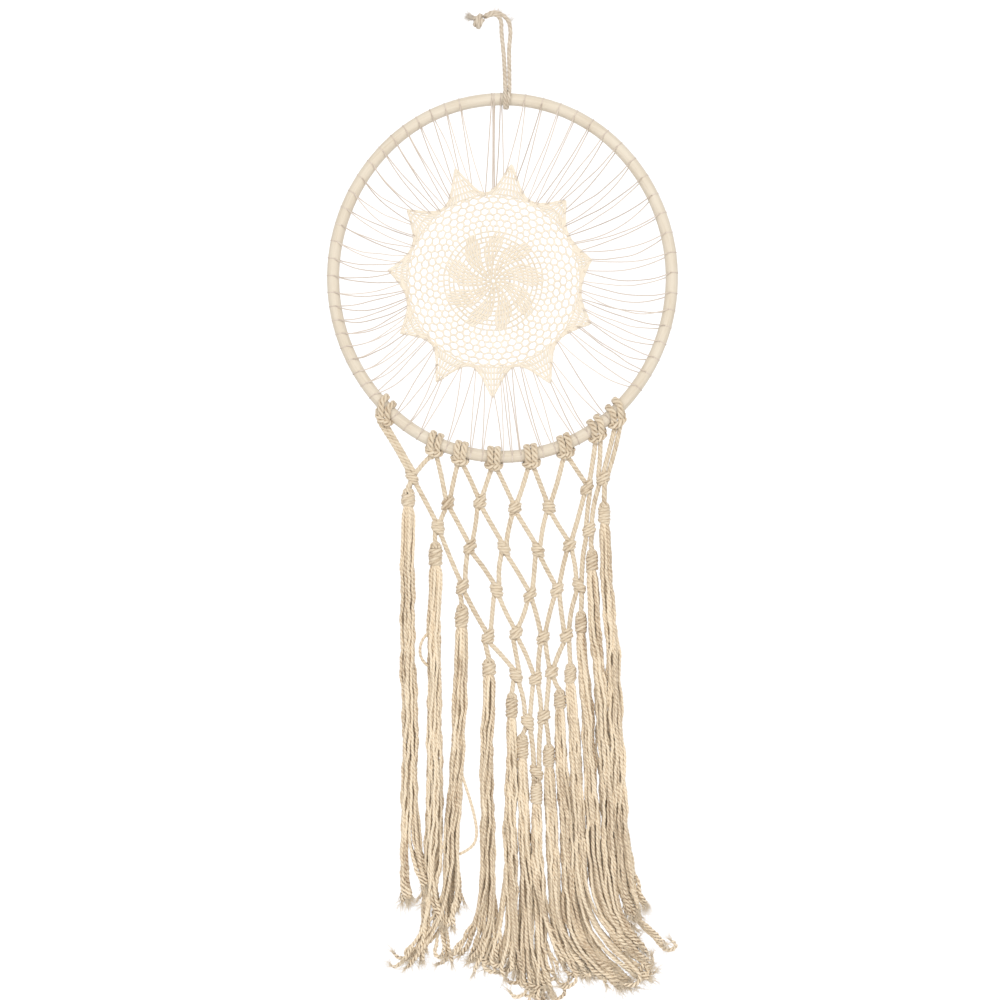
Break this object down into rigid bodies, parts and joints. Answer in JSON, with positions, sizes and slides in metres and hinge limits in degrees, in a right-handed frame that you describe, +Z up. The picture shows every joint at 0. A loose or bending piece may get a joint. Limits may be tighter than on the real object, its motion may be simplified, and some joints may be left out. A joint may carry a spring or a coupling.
{
  "type": "dream catcher",
  "caption": "Macrame dream catcher: a cord-hung hoop with a laced crochet doily, over a knotted cord net that tapers to a point, edged with long yarn tassels.",
  "frame": {"origin": "centre of the eye between the two hanger strands, where a nail or hook passes through", "axes": "+Z up along the hanging line, +X to the viewer's right, front face towards -Y"},
  "size_m": [0.3431, 0.0218, 0.9487],
  "materials": {
    "hoop": "smooth pale rattan ring, satin",
    "doily_cotton": "matt crocheted cotton",
    "web_thread": "thin cotton thread",
    "macrame_cord": "three-strand twisted natural cotton cord, matt",
    "tassel_yarn": "loosely twisted natural cotton yarn, matt",
    "hanger_cord": "soft two-strand natural cotton cord, matt"
  },
  "bodies": {
    "hanger": {"hanger_cord": "hanger_cord", "hanger_knot": "hanger_cord", "hanger_tail": "hanger_cord"},
    "hitch": {"hanger_hitch": "hanger_cord"},
    "hoop": {"hoop_ring": "hoop", "doily": "doily_cotton", "web_thread": "web_thread", "cord_hitch_1": "macrame_cord", "cord_hitch_2": "macrame_cord", "cord_hitch_3": "macrame_cord", "cord_hitch_4": "macrame_cord", "cord_hitch_5": "macrame_cord", "cord_hitch_6": "macrame_cord", "cord_hitch_7": "macrame_cord", "cord_hitch_8": "macrame_cord", "net_cords_row_1": "macrame_cord", "net_cords_row_2": "macrame_cord", "net_cords_row_3": "macrame_cord", "net_cords_row_4": "macrame_cord", "net_cords_row_5": "macrame_cord", "net_cords_row_6": "macrame_cord", "net_cords_row_7": "macrame_cord", "net_cords_row_8": "macrame_cord", "net_knots_row_1": "macrame_cord", "net_knots_row_2": "macrame_cord", "net_knots_row_3": "macrame_cord", "net_knots_row_4": "macrame_cord", "net_knots_row_5": "macrame_cord", "net_knots_row_6": "macrame_cord", "net_knots_row_7": "macrame_cord"},
    "left_1_tassel": {"gathering_wrap_left_1": "macrame_cord", "tassel_left_1": "tassel_yarn"},
    "left_2_tassel": {"gathering_wrap_left_2": "macrame_cord", "tassel_left_2": "tassel_yarn", "loose_yarn_1": "tassel_yarn"},
    "left_3_tassel": {"gathering_wrap_left_3": "macrame_cord", "tassel_left_3": "tassel_yarn", "loose_yarn_2": "tassel_yarn"},
    "left_4_tassel": {"gathering_wrap_left_4": "macrame_cord", "tassel_left_4": "tassel_yarn"},
    "left_5_tassel": {"gathering_wrap_left_5": "macrame_cord", "tassel_left_5": "tassel_yarn"},
    "left_6_tassel": {"gathering_wrap_left_6": "macrame_cord", "tassel_left_6": "tassel_yarn"},
    "tip_tassel": {"gathering_wrap_tip": "macrame_cord", "tassel_tip": "tassel_yarn"},
    "right_6_tassel": {"gathering_wrap_right_6": "macrame_cord", "tassel_right_6": "tassel_yarn"},
    "right_5_tassel": {"gathering_wrap_right_5": "macrame_cord", "tassel_right_5": "tassel_yarn"},
    "right_4_tassel": {"gathering_wrap_right_4": "macrame_cord", "tassel_right_4": "tassel_yarn"},
    "right_3_tassel": {"gathering_wrap_right_3": "macrame_cord", "tassel_right_3": "tassel_yarn"},
    "right_2_tassel": {"gathering_wrap_right_2": "macrame_cord", "tassel_right_2": "tassel_yarn"},
    "right_1_tassel": {"gathering_wrap_right_1": "macrame_cord", "tassel_right_1": "tassel_yarn"}
  },
  "joints": [
    {"name": "hanger_twist", "type": "hinge", "parent": "hanger", "child": "hitch", "pos_m": [0.0013, 0, -0.0574], "axis": [0, 0, 1], "range_deg": [-60, 60], "stiffness_Nm_per_rad": 0.005},
    {"name": "hoop_swing", "type": "hinge", "parent": "hitch", "child": "hoop", "pos_m": [0.0013, 0, -0.06827], "axis": [1, 0, 0], "range_deg": [-45, 45]},
    {"name": "left_1_sway", "type": "hinge", "parent": "hoop", "child": "left_1_tassel", "pos_m": [-0.095, 0, -0.4535], "axis": [1, 0, 0], "range_deg": [-45, 45]},
    {"name": "left_2_sway", "type": "hinge", "parent": "hoop", "child": "left_2_tassel", "pos_m": [-0.0685, 0, -0.506], "axis": [1, 0, 0], "range_deg": [-45, 45]},
    {"name": "left_3_sway", "type": "hinge", "parent": "hoop", "child": "left_3_tassel", "pos_m": [-0.043, 0, -0.5665], "axis": [1, 0, 0], "range_deg": [-45, 45]},
    {"name": "left_4_sway", "type": "hinge", "parent": "hoop", "child": "left_4_tassel", "pos_m": [-0.0165, 0, -0.619], "axis": [1, 0, 0], "range_deg": [-45, 45]},
    {"name": "left_5_sway", "type": "hinge", "parent": "hoop", "child": "left_5_tassel", "pos_m": [0.0056, 0, -0.6517], "axis": [1, 0, 0], "range_deg": [-45, 45]},
    {"name": "left_6_sway", "type": "hinge", "parent": "hoop", "child": "left_6_tassel", "pos_m": [0.016, 0, -0.6917], "axis": [1, 0, 0], "range_deg": [-45, 45]},
    {"name": "tip_sway", "type": "hinge", "parent": "hoop", "child": "tip_tassel", "pos_m": [0.0296, 0, -0.7362], "axis": [1, 0, 0], "range_deg": [-45, 45]},
    {"name": "right_6_sway", "type": "hinge", "parent": "hoop", "child": "right_6_tassel", "pos_m": [0.0416, 0, -0.7017], "axis": [1, 0, 0], "range_deg": [-45, 45]},
    {"name": "right_5_sway", "type": "hinge", "parent": "hoop", "child": "right_5_tassel", "pos_m": [0.0524, 0, -0.6482], "axis": [1, 0, 0], "range_deg": [-45, 45]},
    {"name": "right_4_sway", "type": "hinge", "parent": "hoop", "child": "right_4_tassel", "pos_m": [0.0626, 0, -0.6232], "axis": [1, 0, 0], "range_deg": [-45, 45]},
    {"name": "right_3_sway", "type": "hinge", "parent": "hoop", "child": "right_3_tassel", "pos_m": [0.0729, 0, -0.5722], "axis": [1, 0, 0], "range_deg": [-45, 45]},
    {"name": "right_2_sway", "type": "hinge", "parent": "hoop", "child": "right_2_tassel", "pos_m": [0.0836, 0, -0.5122], "axis": [1, 0, 0], "range_deg": [-45, 45]},
    {"name": "right_1_sway", "type": "hinge", "parent": "hoop", "child": "right_1_tassel", "pos_m": [0.0955, 0, -0.4662], "axis": [1, 0, 0], "range_deg": [-45, 45]}
  ]
}
